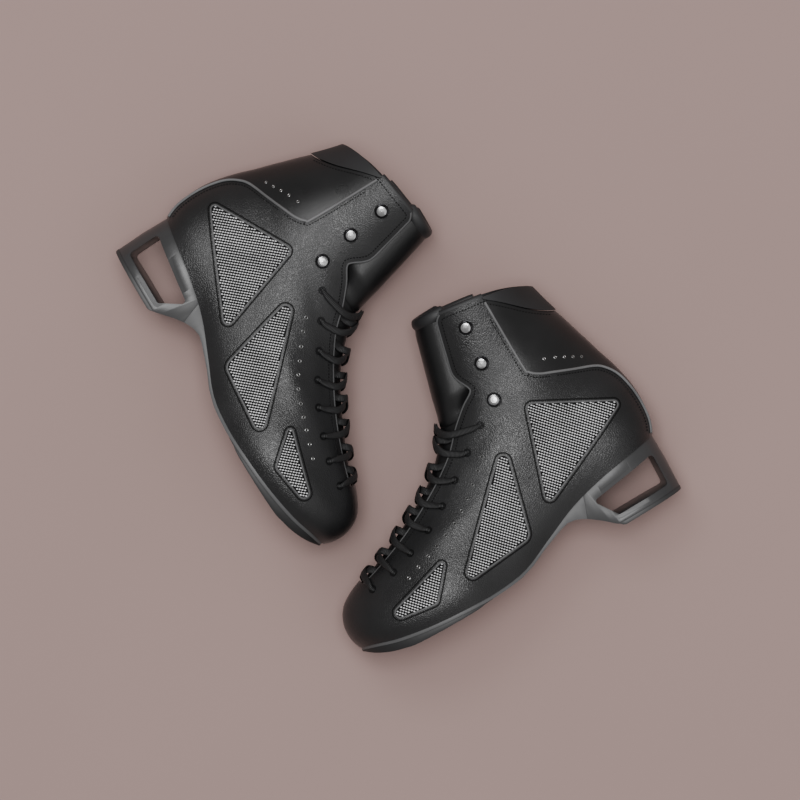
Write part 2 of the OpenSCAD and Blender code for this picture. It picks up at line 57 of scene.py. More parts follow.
# Girth levels: back point and front point (x, z, x, z), dip of the arch, bluntness, and
# the half width at eight even places from back to front
LEVELS = np.array([
    [-3, 47, 273.5, 22, 25.7, 8, 35, 35, 31, 31, 38, 44.5, 43, 37],
    [-8, 61, 276, 31, 24, 8, 36, 37, 35, 36, 41.5, 47.5, 45, 38],
    [-9.5, 76, 275, 43, 20, 7, 36, 37.5, 37, 38.5, 42.5, 46, 42.5, 36],
    [-9, 88, 268.5, 54.5, 14, 6, 35.5, 37.5, 38, 39, 41, 40.5, 35, 31],
    [-7, 99, 256, 62.5, 9, 5, 35, 37.5, 38.5, 39.5, 40, 36.5, 30, 29],
    [-4.5, 109, 236, 70, 5, 4, 34, 37, 39, 39.5, 37.5, 32.5, 26.5, 25],
    [-2, 117, 212, 80, 3, 3.5, 33.5, 37, 39.5, 39.5, 36.5, 31, 25, 25],
    [0.5, 125, 188, 91.5, 1.5, 3, 32.5, 37, 40, 40, 37, 31.5, 26, 25.5],
    [3, 134, 165, 105, 0.5, 2.8, 32, 36.5, 40, 40.5, 37.5, 33, 28.5, 27],
    [6, 144, 145, 123.5, 0, 2.5, 32, 36, 39.5, 40.5, 38.5, 36, 32, 29.5],
    [9.5, 156, 131.5, 143, 0, 2.3, 32.5, 36, 38.5, 39.5, 38.5, 36.5, 33, 30],
    [14, 170, 127.5, 164, 0, 2.2, 33.5, 36.5, 38.5, 39.5, 39, 37.5, 34.5, 30.5],
    [18, 185, 121.5, 188, 0, 2.2, 35, 38, 40, 41, 40.5, 39, 36, 31.5],
    [21, 199, 117, 207, 0, 2.2, 36.5, 39.5, 41.5, 42.5, 42, 40.5, 37.5, 32.5],
    [23, 211, 114, 222, 0, 2.2, 37.5, 40.5, 42.5, 43.5, 43, 41.5, 38.5, 33.5],
])
TOP_LEVEL = len(LEVELS) - 1
ARCH = np.array([0, 0.03, 0.1, 0.28, 0.62, 0.95, 0.96, 0.81, 0.62, 0.35, 0])
BALL_OUT = 4
TOE_IN = 6
# Outlines seen from the side, as (x, z)
COLLAR_SEAM = [(59, 204), (59, 145.5), (57.5, 138.5), (51, 133), (40, 128), (25, 121.5),
               (10, 115), (3, 109), (-2.5, 100), (-5.5, 88), (-6.5, 75), (-5.5, 62),
               (-3, 53), (1, 46)]
CUFF_SEAM = [(59, 203), (50, 195.5), (42, 188), (33, 179.5), (24, 172.5), (14, 166.5),
             (-5, 160)]
TOP_LINE = [(-5, 180), (13, 185.5), (18, 190.5), (26, 195.5), (40, 201), (58, 205),
            (75, 207.5), (93, 210)]
FACING = [(93, 210), (97, 206.5), (99, 200), (104, 180), (107, 167), (106, 160), (102, 151),
          (103, 147), (112, 141), (121, 133.5), (128, 127), (140, 114.5), (155, 103.5),
          (170, 94.5), (185, 86.5), (200, 79.5), (215, 73.5), (230, 68.2), (246, 63.5)]
HEEL_WINDOW = [(13, 83, 3), (69, 113, 4), (91, 49.5, 4)]
ARCH_WINDOW = [(108.5, 90, 4.5), (126, 36, 7), (172, 30.5, 4.5)]
TOE_WINDOW = [(189.5, 47, 2), (234.5, 32, 4), (209, 28.5, 4)]
WINDOWS = {"heel": HEEL_WINDOW, "arch": ARCH_WINDOW, "toe": TOE_WINDOW}
EYELETS = [(109, 122), (128, 109), (147, 96), (165.5, 84), (184, 74), (204.5, 66),
           (223, 60), (243, 57)]
CROSSINGS = [135.5, 141, 156, 171, 186, 203, 222, 240]
PERFORATIONS = [(120.5, 101), (128.5, 93.5), (137.5, 86.5), (146.5, 80), (155, 74),
                (164.5, 68.5), (175, 64.5), (185, 61), (194.5, 58), (205, 54.5), (215.5, 51)]
COLLAR_DOTS = [(15, 126.5), (21, 130), (27, 133.5), (33.5, 137), (41.5, 140.5)]
LEATHER_T = 2
LINING_OUT = 3.6
LINING_IN = 5.0
TONGUE_OUT = 5.6
TONGUE_T = 4
LACE_W = 5.5
LACE_T = 1.2
WELT = 1
BAND_T = 2.6
HEEL_HALF = 33


def placement(side):
    """From a boot's own frame in millimetres to the row frame in metres."""
    hand = 1 if side == "left" else -1
    turned = Matrix.Rotation(math.radians(TURN[side]), 4, "Z")
    tilted = (Matrix.Rotation(math.radians(PITCH), 4, "Y")
              @ Matrix.Rotation(math.radians(hand * ROLL), 4, "X"))
    laid = Matrix.Rotation(math.radians(hand * 90), 4, "X")
    mirrored = Matrix.Diagonal((1, hand, 1, 1))
    at = Matrix.Translation((*HEEL_AT[side], REST_HEIGHT))
    return Matrix.Scale(0.001, 4) @ at @ turned @ tilted @ laid @ mirrored


PLACE = {side: np.array(placement(side)) for side in SIDES}


# ---------------------------------------------------------------------------
# The upper's surface
# ---------------------------------------------------------------------------
def cubic(a, b, c, d, f):
    return 0.5 * (2 * b + (c - a) * f + (2 * a - 5 * b + 4 * c - d) * f * f
                  + (3 * b - a - 3 * c + d) * f ** 3)


def along(table, u):
    """A smooth curve through the table's rows, at the places u counted in rows."""
    table = np.asarray(table, float)
    u = np.atleast_1d(np.asarray(u, float))
    last = len(table) - 1
    i = np.clip(np.floor(u).astype(int), 0, last - 1)
    f = u - i
    if table.ndim > 1:
        f = f[:, None]
    return cubic(*(table[np.clip(i + k, 0, last)] for k in (-1, 0, 1, 2)), f)


def across_rows(rows, u):
    last = rows.shape[1] - 1
    i = np.clip(np.floor(u).astype(int), 0, last - 1)
    at = (np.take_along_axis(rows, np.clip(i + k, 0, last)[:, None], 1)[:, 0]
          for k in (-1, 0, 1, 2))
    return cubic(*at, u - i)


def smooth(t):
    s = np.clip(t, 0, 1)
    return s * s * (3 - 2 * s)


def both_arrays(u, a):
    u, a = np.broadcast_arrays(np.asarray(u, float), np.asarray(a, float))
    return u.ravel(), a.ravel()


def middle(x):
    """How far the boot's middle line bows outwards at x."""
    return BALL_OUT * smooth((x - 130) / 55) - TOE_IN * smooth((x - 185) / 90)


def skin(u, a):
    """Points of the outer surface at levels u and angles a: 0 heel, 90 outside, 180 front."""
    u, a = both_arrays(u, a)
    row = along(LEVELS, u)
    cosine = np.cos(np.radians(a))
    c = (1 - cosine) / 2
    width = across_rows(row[:, 6:], c * 7)
    blunt = np.maximum(0, 1 - np.abs(cosine) ** row[:, 5])
    half = width * np.sqrt(blunt) * np.sign(np.sin(np.radians(a)))
    x = row[:, 0] + (row[:, 2] - row[:, 0]) * c
    z = row[:, 1] + (row[:, 3] - row[:, 1]) * c - row[:, 4] * along(ARCH, c * 10)
    return np.stack([x, half + middle(x), z], 1)


def unit(v):
    return v / np.maximum(np.linalg.norm(v, axis=-1, keepdims=True), 1e-9)


def normal(u, a):
    u, a = both_arrays(u, a)
    e, s = 0.05, 0.5
    du = skin(np.minimum(u + e, TOP_LEVEL), a) - skin(np.maximum(u - e, 0), a)
    da = skin(u, a + s) - skin(u, a - s)
    return unit(np.cross(du, da))


def layer(u, a, depth):
    """Points of the surface moved inwards by a depth."""
    u, a = both_arrays(u, a)
    return skin(u, a) - np.broadcast_to(depth, u.shape)[:, None] * normal(u, a)


def on_side(points, level=7, angle=90):
    """Level and angle of the surface points that the side view shows at (x, z)."""
    target = np.asarray(points, float)
    u = np.full(len(target), float(level))
    a = np.full(len(target), float(angle))
    for _ in range(16):
        p = skin(u, a)[:, ::2]
        pu = (skin(u + 0.02, a)[:, ::2] - p) / 0.02
        pa = (skin(u, a + 0.2)[:, ::2] - p) / 0.2
        det = pu[:, 0] * pa[:, 1] - pa[:, 0] * pu[:, 1]
        ex, ez = (target - p).T
        du = (ex * pa[:, 1] - pa[:, 0] * ez) / det
        da = (pu[:, 0] * ez - ex * pu[:, 1]) / det
        u = np.clip(u + np.clip(du, -1.5, 1.5), 0, TOP_LEVEL - 0.1)
        a = np.clip(a + np.clip(da, -25, 25), 4, 176)
    return u, a


# ---------------------------------------------------------------------------
# Geometry: every shape is a pair (points, faces)
# ---------------------------------------------------------------------------
def joined(shapes):
    points, faces, offset = [], [], 0
    for p, f in shapes:
        points.append(p)
        faces += [[i + offset for i in face] for face in f]
        offset += len(p)
    return np.concatenate(points), faces


def mirrored(shape):
    """The same shape on the boot's inner side."""
    points, faces = shape
    other = points.copy()
    other[:, 1] = 2 * middle(points[:, 0]) - points[:, 1]
    return other, [face[::-1] for face in faces]


def loft(rings, closed=False):
    """Joins equal rings of points into one skin, with flat ends unless it is closed."""
    rings = np.asarray(rings, float)
    n, m = rings.shape[:2]
    spans = n if closed else n - 1
    faces = [[i * m + j, i * m + (j + 1) % m, (i + 1) % n * m + (j + 1) % m, (i + 1) % n * m + j]
             for i in range(spans) for j in range(m)]
    if not closed:
        faces += [list(range(m - 1, -1, -1)), [(n - 1) * m + j for j in range(m)]]
    return rings.reshape(-1, 3), faces


def wall(outer, inner, levels, angles, closed):
    """A wall of the boot between two depths, which may be functions of level and angle."""
    uu, aa = (g.ravel() for g in np.meshgrid(levels, angles, indexing="ij"))
    depths = [d(uu, aa) if callable(d) else d for d in (outer, inner)]
    points = np.concatenate([layer(uu, aa, d) for d in depths])
    n, m = len(levels), len(angles)
    spans = m if closed else m - 1

    def at(s, i, j):
        return (s * n + i) * m + j % m

    faces = []
    for i in range(n - 1):
        for j in range(spans):
            faces.append([at(0, i, j), at(0, i, j + 1), at(0, i + 1, j + 1), at(0, i + 1, j)])
            faces.append([at(1, i, j), at(1, i + 1, j), at(1, i + 1, j + 1), at(1, i, j + 1)])
    for j in range(spans):
        faces.append([at(0, 0, j), at(1, 0, j), at(1, 0, j + 1), at(0, 0, j + 1)])
        faces.append([at(0, n - 1, j), at(0, n - 1, j + 1), at(1, n - 1, j + 1), at(1, n - 1, j)])
    if not closed:
        for i in range(n - 1):
            faces.append([at(0, i, 0), at(0, i + 1, 0), at(1, i + 1, 0), at(1, i, 0)])
            end = m - 1
            faces.append([at(0, i, end), at(1, i, end), at(1, i + 1, end), at(0, i + 1, end)])
    return points, faces


def prism(outline, axis, low=-100, high=100):
    """An outline carried along Y (a side view) or Z (a plan)."""
    outline = np.asarray(outline, float)
    ends = []
    for level in (low, high):
        columns = [outline[:, 0], np.full(len(outline), float(level)), outline[:, 1]]
        if axis == "z":
            columns = [columns[0], columns[2], columns[1]]
        if axis == "x":
            columns = [columns[1], columns[0], columns[2]]
        ends.append(np.stack(columns, 1))
    return loft(ends)


def temporary(shape):
    mesh = bpy.data.meshes.new("temporary")
    mesh.from_pydata(shape[0].tolist(), [], shape[1])
    mesh.validate()
    thing = bpy.data.objects.new("temporary", mesh)
    bpy.context.scene.collection.objects.link(thing)
    bpy.context.view_layer.objects.active = thing
    bpy.ops.object.select_all(action="DESELECT")
    thing.select_set(True)
    bpy.ops.object.mode_set(mode="EDIT")
    bpy.ops.mesh.select_all(action="SELECT")
    bpy.ops.mesh.normals_make_consistent(inside=False)
    bpy.ops.object.mode_set(mode="OBJECT")
    return thing


def carved(shape, minus=(), common=(), bevel=0, bevel_angle=35, segments=2):
    """The shape cut by the others, with its sharp edges rounded."""
    thing = temporary(shape)
    others = []
    for operation, shapes in (("DIFFERENCE", minus), ("INTERSECT", common)):
        for other in shapes:
            others.append(temporary(other))
            cut = thing.modifiers.new("cut", "BOOLEAN")
            cut.operation = operation
            cut.solver = "EXACT"
            cut.object = others[-1]
    if bevel:
        weld = thing.modifiers.new("weld", "WELD")
        weld.merge_threshold = 0.02
        rounding = thing.modifiers.new("rounding", "BEVEL")
        rounding.width = bevel
        rounding.segments = segments
        rounding.limit_method = "ANGLE"
        rounding.angle_limit = math.radians(bevel_angle)
        rounding.use_clamp_overlap = True
    graph = bpy.context.evaluated_depsgraph_get()
    mesh = thing.evaluated_get(graph).to_mesh()
    points = np.array([v.co for v in mesh.vertices])
    faces = [list(p.vertices) for p in mesh.polygons]
    for other in (thing, *others):
        data = other.data
        bpy.data.objects.remove(other)
        bpy.data.meshes.remove(data)
    return points, faces


def evenly(path, gap, closed=False):
    """Points along a polyline at even gaps, and the directions there."""
    path = np.asarray(path, float)
    if closed:
        path = np.concatenate([path, path[:1]])
    reach = np.concatenate([[0], np.cumsum(np.linalg.norm(np.diff(path, axis=0), axis=1))])
    count = max(2, int(round(reach[-1] / gap)))
    places = np.linspace(0, reach[-1], count, endpoint=not closed)
    out = np.stack([np.interp(places, reach, path[:, k]) for k in range(path.shape[1])], 1)
    ahead = np.roll(out, -1, 0) if closed else np.concatenate([out[1:], out[-1:] * 2 - out[-2:-1]])
    behind = np.roll(out, 1, 0) if closed else np.concatenate([out[:1] * 2 - out[1:2], out[:-1]])
    return out, unit(ahead - behind)


def window_outline(corners, grown=0, gap=1.0):
    """The outline of a window with round corners (x, z, radius), grown by a distance."""
    turns = np.radians(np.arange(0, 360, 10))
    cloud = np.concatenate([np.stack([x + (r + grown) * np.cos(turns),
                                      z + (r + grown) * np.sin(turns)], 1)
                            for x, z, r in corners])
    order = sorted(map(tuple, cloud))

    def chain(points):
        out = []
        for p in points:
            while len(out) > 1 and ((out[-1][0] - out[-2][0]) * (p[1] - out[-2][1])
                                    <= (out[-1][1] - out[-2][1]) * (p[0] - out[-2][0])):
                out.pop()
            out.append(p)
        return out[:-1]

    return evenly(chain(order) + chain(order[::-1]), gap, closed=True)[0]


def ribbon(path, normals, half_w, half_t, n=8, closed=False, square=2):
    """An oval band along a path, flat against the normals."""
    ahead = np.roll(path, -1, 0) if closed else np.concatenate([path[1:], path[-1:]])
    behind = np.roll(path, 1, 0) if closed else np.concatenate([path[:1], path[:-1]])
    direction = unit(ahead - behind)
    wide = unit(np.cross(direction, normals))
    thick = np.cross(wide, direction)
    half_w = np.broadcast_to(half_w, len(path))[:, None]
    half_t = np.broadcast_to(half_t, len(path))[:, None]
    turns = 2 * np.pi * (np.arange(n) + 0.5) / n
    rings = []
    for t in turns:
        c, s = math.cos(t), math.sin(t)
        bulge = (abs(c) ** square + abs(s) ** square) ** (-1 / square)
        rings.append(path + half_w * c * bulge * wide + half_t * s * bulge * thick)
    return loft(np.stack(rings, 1), closed)


def surface_path(outline, depth, level=7, angle=90):
    """An (x, z) outline laid on the surface, with its normals."""
    u, a = on_side(outline, level, angle)
    return layer(u, a, depth), normal(u, a)


def seam(outline, depth, half_w, half_t, closed=False, gap=1.5, level=7, angle=90, n=8):
    """A band along an outline on both sides of the boot."""
    points = evenly(outline, gap, closed)[0]
    path, out = surface_path(points, depth, level, angle)
    side = ribbon(path, out, half_w, half_t, n, closed)
    return joined([side, mirrored(side)])


def grains(centres, directions, normals, length, width, height, rings=3, n=6):
    """A small rounded grain at each centre, such as a stitch or a loop of thread."""
    heights = np.cos(np.pi * (np.arange(rings + 2)) / (rings + 1))
    turns = 2 * np.pi * np.arange(n) / n
    template = [(heights[0], 0, 0)]
    for h in heights[1:-1]:
        r = math.sqrt(1 - h * h)
        template += [(h, r * math.cos(t), r * math.sin(t)) for t in turns]
    template.append((heights[-1], 0, 0))
    template = np.array(template) * (length / 2, width / 2, height / 2)
    faces = [[0, 1 + (j + 1) % n, 1 + j] for j in range(n)]
    for i in range(rings - 1):
        b = 1 + i * n
        faces += [[b + j, b + (j + 1) % n, b + n + (j + 1) % n, b + n + j] for j in range(n)]
    b, tip = 1 + (rings - 1) * n, 1 + rings * n
    faces += [[tip, b + j, b + (j + 1) % n] for j in range(n)]
    wide = unit(np.cross(normals, directions))
    ahead = np.cross(wide, normals)
    axes = np.stack([ahead, wide, normals], 1)
    points = centres[:, None, :] + np.einsum("tk,ckx->ctx", template, axes)
    count = len(template)
    every = [[i + c * count for i in face] for c in range(len(centres)) for face in faces]
    return points.reshape(-1, 3), every


def stitches(outline, depth, closed=False, gap=2.3, length=1.7, level=7, angle=90):
    """A row of stitches along an outline, on both sides of the boot."""
    points = evenly(outline, gap, closed)[0]
    path, out = surface_path(points, depth, level, angle)
    ahead = np.roll(path, -1, 0) if closed else np.concatenate([path[1:], 2 * path[-1:] - path[-2:-1]])
    side = grains(path, unit(ahead - path), out, length, 1.0, 0.9)
    return joined([side, mirrored(side)])


def rings_at(places, depth, radius, tube, n=14, m=6, level=7, angle=90):
    """Small round rims on the surface at side places, on both sides of the boot."""
    u, a = on_side(places, level, angle)
    centres, out = layer(u, a, depth), normal(u, a)
    shapes = []
    for centre, up in zip(centres, out):
        x_axis = unit(np.cross(up, (0, 0, 1.0)))
        y_axis = np.cross(up, x_axis)
        turns = 2 * np.pi * np.arange(n) / n
        circle = (centre + radius * np.cos(turns)[:, None] * x_axis
                  + radius * np.sin(turns)[:, None] * y_axis)
        shapes.append(ribbon(circle, np.tile(up, (n, 1)), tube, tube, m, closed=True))
    side = joined(shapes)
    return joined([side, mirrored(side)])


# ---------------------------------------------------------------------------
# Materials
# ---------------------------------------------------------------------------
def shader(name, colour, roughness, metallic=0.0, specular=0.5, coat=0.0):
    finish = bpy.data.materials.new(name)
    finish.use_nodes = True
    bsdf = finish.node_tree.nodes["Principled BSDF"]
    bsdf.inputs["Base Color"].default_value = (*colour, 1)
    bsdf.inputs["Roughness"].default_value = roughness
    bsdf.inputs["Metallic"].default_value = metallic
    bsdf.inputs["Specular IOR Level"].default_value = specular
    bsdf.inputs["Coat Weight"].default_value = coat
    return finish, finish.node_tree, bsdf


def texture(tree, kind, scale, **values):
    """A texture node that reads the object's own coordinates, in metres."""
    node = tree.nodes.new(kind)
    where = tree.nodes.new("ShaderNodeTexCoord")
    tree.links.new(where.outputs["Object"], node.inputs["Vector"])
    node.inputs["Scale"].default_value = scale
    for key, value in values.items():
        node.inputs[key].default_value = value
    return node


def ranged(tree, source, low, high, from_low=0.3, from_high=0.7):
    node = tree.nodes.new("ShaderNodeMapRange")
    tree.links.new(source, node.inputs["Value"])
    node.inputs["From Min"].default_value = from_low
    node.inputs["From Max"].default_value = from_high
    node.inputs["To Min"].default_value = low
    node.inputs["To Max"].default_value = high
    return node.outputs["Result"]


def blended(tree, factor, first, second):
    node = tree.nodes.new("ShaderNodeMixRGB")
    tree.links.new(factor, node.inputs["Fac"])
    node.inputs["Color1"].default_value = (*first, 1)
    node.inputs["Color2"].default_value = (*second, 1)
    return node.outputs["Color"]


def bump(tree, bsdf, height, strength, distance, below=None):
    node = tree.nodes.new("ShaderNodeBump")
    node.inputs["Strength"].default_value = strength
    node.inputs["Distance"].default_value = distance
    tree.links.new(height, node.inputs["Height"])
    if below:
        tree.links.new(below, node.inputs["Normal"])
    tree.links.new(node.outputs["Normal"], bsdf.inputs["Normal"])
    return node.outputs["Normal"]


def mottled(tree, bsdf, colour, spread, scale):
    """Colour that varies softly by a share of itself."""
    clouds = texture(tree, "ShaderNodeTexNoise", scale, Detail=3)
    factor = ranged(tree, clouds.outputs["Fac"], 0, 1)
    dark = [c * (1 - spread) for c in colour]
    light = [c * (1 + spread) for c in colour]
    tree.links.new(blended(tree, factor, dark, light), bsdf.inputs["Base Color"])
    return clouds


def leather(name, colour, roughness, grain=750, depth=0.6, coat=0.0):
    finish, tree, bsdf = shader(name, colour, roughness, coat=coat)
    clouds = mottled(tree, bsdf, colour, 0.25, 30)
    tree.links.new(ranged(tree, clouds.outputs["Fac"], roughness - 0.06, roughness + 0.06),
                   bsdf.inputs["Roughness"])
    cells = texture(tree, "ShaderNodeTexVoronoi", grain, Randomness=1.0)
    cells.feature = "DISTANCE_TO_EDGE"
    pebbles = ranged(tree, cells.outputs["Distance"], 0, 1, 0, 0.25)
    first = bump(tree, bsdf, pebbles, depth, 0.00013)
    creases = texture(tree, "ShaderNodeTexNoise", 260, Detail=4)
    bump(tree, bsdf, creases.outputs["Fac"], depth * 0.5, 0.0003, first)
    return finish


def cloth(name, colour, roughness=0.9, scale=1600):
    finish, tree, bsdf = shader(name, colour, roughness, specular=0.2)
    mottled(tree, bsdf, colour, 0.2, 60)
    threads = texture(tree, "ShaderNodeTexNoise", scale, Detail=2)
    bump(tree, bsdf, threads.outputs["Fac"], 0.5, 0.0002)
    return finish


def moulded(name, colour, roughness, scale=1800, depth=0.25):
    finish, tree, bsdf = shader(name, colour, roughness)
    clouds = mottled(tree, bsdf, colour, 0.12, 25)
    tree.links.new(ranged(tree, clouds.outputs["Fac"], roughness - 0.05, roughness + 0.05),
                   bsdf.inputs["Roughness"])
    speckle = texture(tree, "ShaderNodeTexNoise", scale, Detail=2)
    bump(tree, bsdf, speckle.outputs["Fac"], depth, 0.0001)
    return finish


def metal(name, colour, roughness, metallic=1.0):
    finish, tree, bsdf = shader(name, colour, roughness, metallic)
    wear = mottled(tree, bsdf, colour, 0.1, 150)
    tree.links.new(ranged(tree, wear.outputs["Fac"], roughness - 0.07, roughness + 0.1),
                   bsdf.inputs["Roughness"])
    scratches = texture(tree, "ShaderNodeTexNoise", 900, Detail=3)
    bump(tree, bsdf, scratches.outputs["Fac"], 0.15, 0.00005)
    return finish


def ribbed(name, colour, pitch):
    """Woven lace: ribs across its run, which the mesh carries as a distance. Its colour is darkened in the
    troughs between the ribs as painted shade.
    """
    finish, tree, bsdf = shader(name, colour, 0.55, specular=0.4)
    run = tree.nodes.new("ShaderNodeAttribute")
    run.attribute_name = "run"
    turns = tree.nodes.new("ShaderNodeMath")
    turns.operation = "MULTIPLY"
    turns.inputs[1].default_value = 2 * math.pi / pitch
    tree.links.new(run.outputs["Fac"], turns.inputs[0])
    wave = tree.nodes.new("ShaderNodeMath")
    wave.operation = "SINE"
    tree.links.new(turns.outputs[0], wave.inputs[0])
    # Painted shade: the colour falls to about a third of itself in each trough between the ribs
    painted_rib_shade = ranged(tree, wave.outputs[0], 0, 1, -1, 1)
    dark = [c * 0.35 for c in colour]
    tree.links.new(blended(tree, painted_rib_shade, dark, colour), bsdf.inputs["Base Color"])
    bump(tree, bsdf, wave.outputs[0], 0.6, 0.00025)
    return finish


FINISH = {
    "leather": leather("grained_leather", (0.008, 0.008, 0.0087), 0.34),
    "collar_leather": leather("smooth_leather", (0.0055, 0.0055, 0.006), 0.32, 1500, 0.2),
    "tongue_leather": leather("tongue_leather", (0.005, 0.005, 0.0055), 0.42, 1300, 0.3),
    "roll_leather": leather("roll_leather", (0.014, 0.014, 0.015), 0.5, 1300, 0.3),
    "cuff": leather("cuff_leather", (0.011, 0.011, 0.012), 0.62, 1500, 0.25),
    "piping": leather("piping_leather", (0.12, 0.12, 0.123), 0.5, 1400, 0.2),
    "cut_edge": leather("cut_edge", (0.075, 0.075, 0.077), 0.7, 1800, 0.3),
    "rim": leather("window_rim", (0.09, 0.09, 0.092), 0.6, 1800, 0.2),
    "thread": cloth("seam_thread", (0.002, 0.002, 0.0022), 0.5),
    "mesh": cloth("light_thread", (0.72, 0.72, 0.73), 0.5),
    # Near-black sheet behind the mesh loops: painted shade in the gaps of the mesh
    "mesh_gap_shade": cloth("mesh_gap_painted_shade", (0.002, 0.002, 0.0022), 0.8),
    "lining": cloth("lining_cloth", (0.012, 0.012, 0.013), 0.85),
    "footbed": cloth("footbed_cloth", (0.03, 0.03, 0.033), 0.9),
    "lace": ribbed("ribbed_lace", (0.011, 0.011, 0.012), 0.0011),
    # Near-black painted shade for the insides of the perforations, which are not cut into the leather
    "hole_shade": moulded("hole_shade", (0.001, 0.001, 0.001), 0.7),
    "eyelet": metal("black_eyelet", (0.006, 0.006, 0.0065), 0.4, 0.6),
    "stud": metal("black_stud", (0.035, 0.035, 0.037), 0.16, 1.0),
    "rivet": metal("bright_rivet", (0.45, 0.45, 0.455), 0.2),
    "dot": metal("bright_dot", (0.24, 0.24, 0.24), 0.3),
    "sole_band": moulded("sole_band", (0.07, 0.07, 0.072), 0.5),
    "outsole": moulded("outsole_rubber", (0.008, 0.008, 0.0087), 0.55),
    "heel": moulded("heel_plastic", (0.032, 0.032, 0.0333), 0.38),
    "lift": moulded("lift_rubber", (0.026, 0.026, 0.027), 0.5),
    "board": moulded("insole_board", (0.45, 0.36, 0.25), 0.8),
    "filler": moulded("cork_filler", (0.42, 0.27, 0.15), 0.9, 700, 0.6),
    "stiffener": moulded("stiffener", (0.55, 0.5, 0.42), 0.7),
    "steel": metal("steel", (0.5, 0.5, 0.52), 0.35),
}


def pieces(name, shape, finish, body="boot", stands_for=(), sharp=40, run=None):
    """The same piece on both boots, riding on one of each boot's bodies."""
    points, faces = shape
    made = {}
    for side in SIDES:
        place = PLACE[side]
        moved = points @ place[:3, :3].T + place[:3, 3]
        turned = faces if side == "left" else [face[::-1] for face in faces]
        mesh = bpy.data.meshes.new(f"{side}_{name}")
        mesh.from_pydata(moved.tolist(), [], turned)
        mesh.validate()
        mesh.shade_smooth()
        if sharp:
            mesh.set_sharp_from_angle(angle=math.radians(sharp))
        if run is not None:
            mesh.attributes.new("run", "FLOAT", "POINT").data.foreach_set(
                "value", np.asarray(run, np.float32))
        mesh.materials.append(FINISH[finish])
        thing = bpy.data.objects.new(f"{side}_{name}", mesh)
        bpy.context.scene.collection.objects.link(thing)
        if body:
            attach(thing, f"{side}_{body}")
        if stands_for:
            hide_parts(*(f"{side}_{node}" for node in stands_for))
        made[side] = thing
    return made


# ---------------------------------------------------------------------------
# The upper
# ---------------------------------------------------------------------------
def curve(table, count=12):
    return along(table, np.linspace(0, len(table) - 1, (len(table) - 1) * count + 1))


TOP_CURVE = curve(TOP_LINE)
SEAM_CURVE = curve(COLLAR_SEAM)
FACING_CURVE = curve(FACING)
CUFF_CURVE = curve(CUFF_SEAM)


def shifted(path, distance):
    """A side outline moved to its left by a distance."""
    ahead = np.gradient(path, axis=0)
    side = unit(np.stack([-ahead[:, 1], ahead[:, 0]], 1))
    return path + distance * side


def throat_prism(back=0):
    end = FACING[-1]
    outline = np.concatenate([FACING_CURVE - (back, 0.6 * back),
                              [(end[0] + back + 1, end[1] - 0.6 * back), (248 + back, 240),
                               (93 - back, 240)]])
    return prism(outline, "y")


def top_prism(lower=0):
    outline = np.concatenate([TOP_CURVE - (0, lower), [(93, 260), (-60, 260), (-60, 180 - lower)]])
    return prism(outline, "y")


def collar_prism():
    return prism(np.concatenate([SEAM_CURVE, [(1, 20), (-60, 20), (-60, 240), (59, 240)]]), "y")


def cuff_prism(grown=0):
    outline = np.concatenate([CUFF_CURVE + (-grown, grown),
                              [(-60, 160 + grown), (-60, 240), (59 - grown, 240)]])
    return prism(outline, "y")


FINE_LEVELS = np.linspace(0, TOP_LEVEL, 57)
FINE_ANGLES = np.arange(0, 360, 3)


def make_upper():
    shell = wall(0, LEATHER_T, FINE_LEVELS, FINE_ANGLES, True)
    holes = [prism(window_outline(w), "y") for w in WINDOWS.values()]
    cut = carved(shell, [throat_prism(), top_prism(), collar_prism(), *holes])
    pieces("vamp_and_quarters", cut, "leather", stands_for=["upper_leather"], sharp=50)
    panel = wall(0, LEATHER_T, FINE_LEVELS, np.arange(-90, 90.5, 3), False)
    cut = carved(panel, [top_prism(), cuff_prism()], [collar_prism()])
    pieces("collar_panel_leather", cut, "collar_leather",
           stands_for=["collar_panel"], sharp=50)


def make_seams():
    half = len(SEAM_CURVE) * 4 // 13
    upper, lower = SEAM_CURVE[1:half], SEAM_CURVE[half - 1:-6]
    shapes = [seam(upper, -0.7, 1.0, 1.0, level=9, angle=80),
              seam(lower, -0.7, 1.0, 1.0, level=5, angle=40)]
    pieces("collar_piping_cord", joined(shapes), "piping", stands_for=["collar_piping"])
    facing_edge = seam(FACING_CURVE, 0.9, 1.1, 1.1, level=8, angle=120)
    pieces("facing_edge", facing_edge, "cut_edge")
    cuff = shifted(CUFF_CURVE, 2.4)[2:-16]
    rim = TOP_CURVE[56:-2] - (0, 3.6)
    rows = [stitches(shifted(FACING_CURVE, -3.4)[6:-12], -0.15, level=8, angle=120),
            stitches(shifted(upper, 2.8)[3:-3], -0.15, level=9, angle=80),
            stitches(shifted(lower, 2.8)[3:-3], -0.15, level=5, angle=40),
            stitches(cuff, -0.15, level=11, angle=60),
            stitches(rim, -0.15, level=12, angle=90)]
    pieces("seam_stitches", joined(rows), "thread")


def make_windows():
    rims, groove_shades, rows = [], [], []
    for corners in WINDOWS.values():
        rims.append(seam(window_outline(corners, 0.2), 0.5, 0.75, 0.8, closed=True, gap=1.2))
        # The stitch groove is not pressed into the leather: a thin near-black band in the thread finish,
        # standing slightly proud, paints its shade
        groove_shades.append(seam(window_outline(corners, 2.0), 0.15, 0.75, 0.3, closed=True, gap=1.5, n=6))
        rows.append(stitches(window_outline(corners, 2.0), -0.1, closed=True, gap=1.9, length=1.5))
    pieces("window_rims", joined(rims), "rim")
    pieces("window_groove_shades", joined(groove_shades), "thread")
    pieces("window_stitches", joined(rows), "thread")


